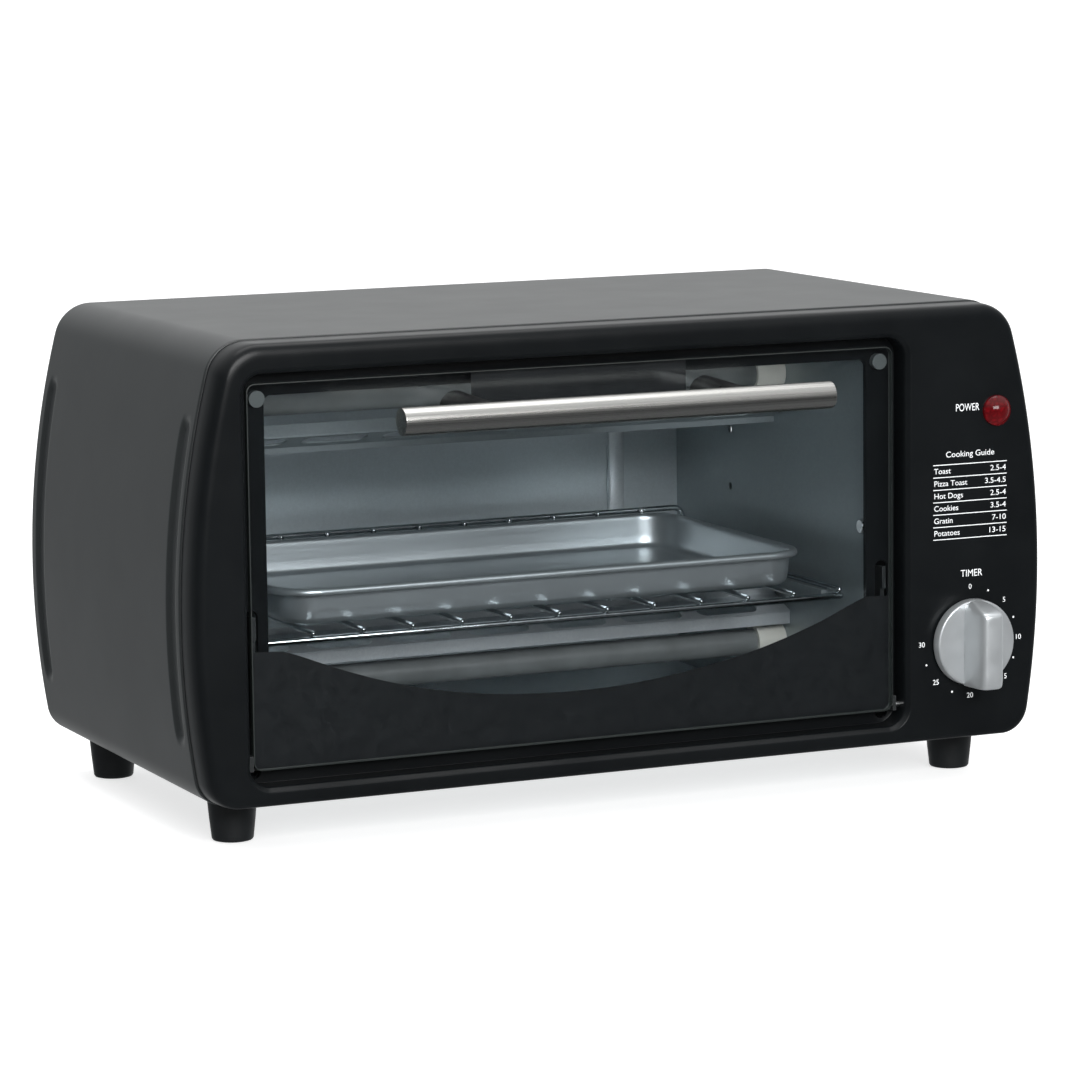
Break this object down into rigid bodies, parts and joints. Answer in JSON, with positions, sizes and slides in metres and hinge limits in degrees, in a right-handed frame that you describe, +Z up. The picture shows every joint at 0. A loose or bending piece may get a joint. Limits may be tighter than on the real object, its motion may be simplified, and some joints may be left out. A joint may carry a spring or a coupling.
{
  "type": "toaster oven",
  "caption": "Compact black toaster oven with a drop-down glass door, bar handle, wire rack, baking tray, timer knob and power lamp.",
  "frame": {"origin": "centre of the oven's bounding box in plan, at the underside of the feet", "axes": "+X to the right seen from the front, +Y towards the back, +Z up; the door faces -Y"},
  "size_m": [0.3706, 0.2384, 0.1965],
  "materials": {
    "black_steel": "satin",
    "black_plastic": "satin",
    "zinc_steel": "satin",
    "bright_steel": "polished",
    "quartz": "satin",
    "heater_wire": "satin",
    "ceramic": "matte",
    "silicone": "matte",
    "red_lens": "gloss",
    "white_plastic": "matte",
    "brass": "satin",
    "foot_plastic": "matte",
    "glass": "gloss",
    "brushed_steel": "satin",
    "silver_plastic": "satin",
    "chrome": "polished",
    "aluminium": "satin"
  },
  "bodies": {
    "oven_body": {"casing": "black_steel", "front_panel": "black_plastic", "rear_panel": "zinc_steel", "base_plate": "zinc_steel", "cavity_wrap": "zinc_steel", "cavity_left_wall": "zinc_steel", "cavity_right_wall": "zinc_steel", "cavity_wall_screws": "bright_steel", "upper_heater_guard": "zinc_steel", "lower_heater_guard": "zinc_steel", "heater_tubes": "quartz", "heater_coils": "heater_wire", "heater_ceramics": "ceramic", "glass_bumpers": "silicone", "lamp_lens": "red_lens", "lamp_body": "white_plastic", "timer_body": "zinc_steel", "timer_screws": "bright_steel", "timer_terminals": "brass", "cord_gland": "black_plastic", "feet": "foot_plastic", "foot_screws": "bright_steel", "rear_screws": "bright_steel", "base_screws": "bright_steel", "panel_screws": "bright_steel"},
    "door": {"door_glass": "glass", "hinge_rail": "black_steel", "hinge_pins": "bright_steel", "door_arms": "zinc_steel", "handle_bar": "brushed_steel", "handle_standoffs": "black_plastic", "handle_screws": "bright_steel"},
    "timer_control": {"timer_knob": "silver_plastic", "timer_shaft": "bright_steel", "knob_clip": "bright_steel"},
    "rack": {"rack_frame": "chrome", "rack_wires": "chrome"},
    "tray": {"baking_tray": "aluminium"}
  },
  "joints": [
    {"name": "door_hinge", "type": "hinge", "parent": "oven_body", "child": "door", "pos_m": [-0.0214, -0.0748, 0.0335], "axis": [1, 0, 0], "range_deg": [0, 84]},
    {"name": "timer_turn", "type": "hinge", "parent": "oven_body", "child": "timer_control", "pos_m": [0.1504, -0.0898, 0.0582], "axis": [0, 1, 0], "range_deg": [0, 270]},
    {"name": "rack_slide", "type": "slide", "parent": "oven_body", "child": "rack", "axis": [0, -1, 0], "range_m": [0, 0.066]},
    {"name": "tray_lift", "type": "slide", "parent": "rack", "child": "tray", "axis": [0, 0, 1], "range_m": [0, 0.03]}
  ],
  "couplings": [
    {"joint": "rack_slide", "follows": "door_hinge", "m_per_rad": 0.045}
  ]
}
